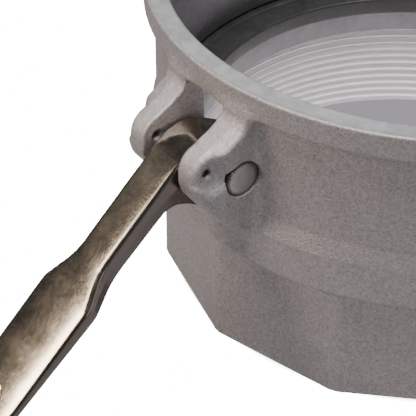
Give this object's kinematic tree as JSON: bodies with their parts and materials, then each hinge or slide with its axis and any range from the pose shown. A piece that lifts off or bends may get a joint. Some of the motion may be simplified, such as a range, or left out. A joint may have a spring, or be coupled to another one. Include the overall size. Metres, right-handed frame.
{
  "type": "camlock coupling",
  "caption": "Cast camlock coupling: round socket with cam arms hinged in ears, flat gasket, and a many-sided threaded base.",
  "frame": {"origin": "centre of the threaded end face, on the coupling's axis", "axes": "+Z along the axis from the threaded end to the socket's mouth; the cam arms lie along -X and +X; Y along the hinge pins"},
  "size_m": [0.3792, 0.191, 0.107],
  "materials": {
    "cast_aluminium": "sand-cast and shot-blasted, machined on the rim, in the socket and on the thread",
    "black_rubber": "moulded matte black rubber",
    "arm_steel": "cast steel, tumbled to a dark warm satin",
    "pin_steel": "turned steel with a knurled end",
    "ring_steel": "bright steel wire"
  },
  "bodies": {
    "coupler": {"coupler_body": "cast_aluminium", "gasket": "black_rubber", "hinge_pin_left": "pin_steel", "hinge_pin_right": "pin_steel"},
    "arm_left": {"cam_arm_left": "arm_steel"},
    "arm_right": {"cam_arm_right": "arm_steel"},
    "ring_left": {"pull_ring_left": "ring_steel"},
    "ring_right": {"pull_ring_right": "ring_steel"}
  },
  "joints": [
    {"name": "arm_left_hinge", "type": "hinge", "parent": "coupler", "child": "arm_left", "pos_m": [-0.0956, 0, 0.078], "axis": [0, 1, 0], "range_deg": [-48, 88]},
    {"name": "arm_right_hinge", "type": "hinge", "parent": "coupler", "child": "arm_right", "pos_m": [0.0956, 0, 0.078], "axis": [0, -1, 0], "range_deg": [-48, 88]},
    {"name": "ring_left_swing", "type": "hinge", "parent": "arm_left", "child": "ring_left", "pos_m": [-0.17811, 0, 0.01851], "axis": [0, 1, 0], "range_deg": [-15, 105]},
    {"name": "ring_right_swing", "type": "hinge", "parent": "arm_right", "child": "ring_right", "pos_m": [0.17811, 0, 0.01851], "axis": [0, -1, 0], "range_deg": [-15, 105]}
  ]
}
